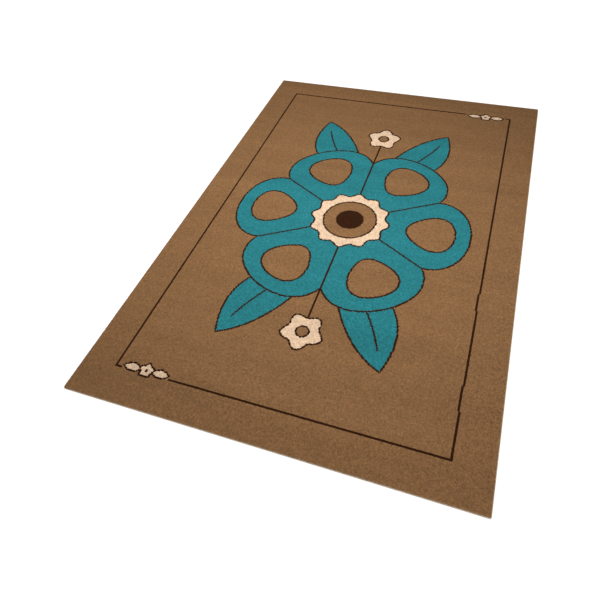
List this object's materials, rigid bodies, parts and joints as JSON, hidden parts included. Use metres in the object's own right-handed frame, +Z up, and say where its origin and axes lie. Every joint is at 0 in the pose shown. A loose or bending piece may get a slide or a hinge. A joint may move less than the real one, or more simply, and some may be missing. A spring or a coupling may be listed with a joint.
{
  "type": "plush area rug",
  "caption": "Flat rectangular area rug of short cut-pile cloth with overlocked edges, brown with a teal and cream flower medallion inside a thin dark border line.",
  "frame": {"origin": "middle of the rug's underside, on the floor", "axes": "+X across the width to the right, +Y along the length to the far end, +Z up through the pile"},
  "size_m": [1.2, 1.8, 0.01],
  "materials": {
    "pile": "soft matte cut pile",
    "overlock_yarn": "matte beige yarn"
  },
  "bodies": {
    "root": {"pile_cloth": "pile", "overlock_right": "overlock_yarn", "overlock_far": "overlock_yarn", "overlock_left": "overlock_yarn", "overlock_near": "overlock_yarn"}
  },
  "joints": []
}
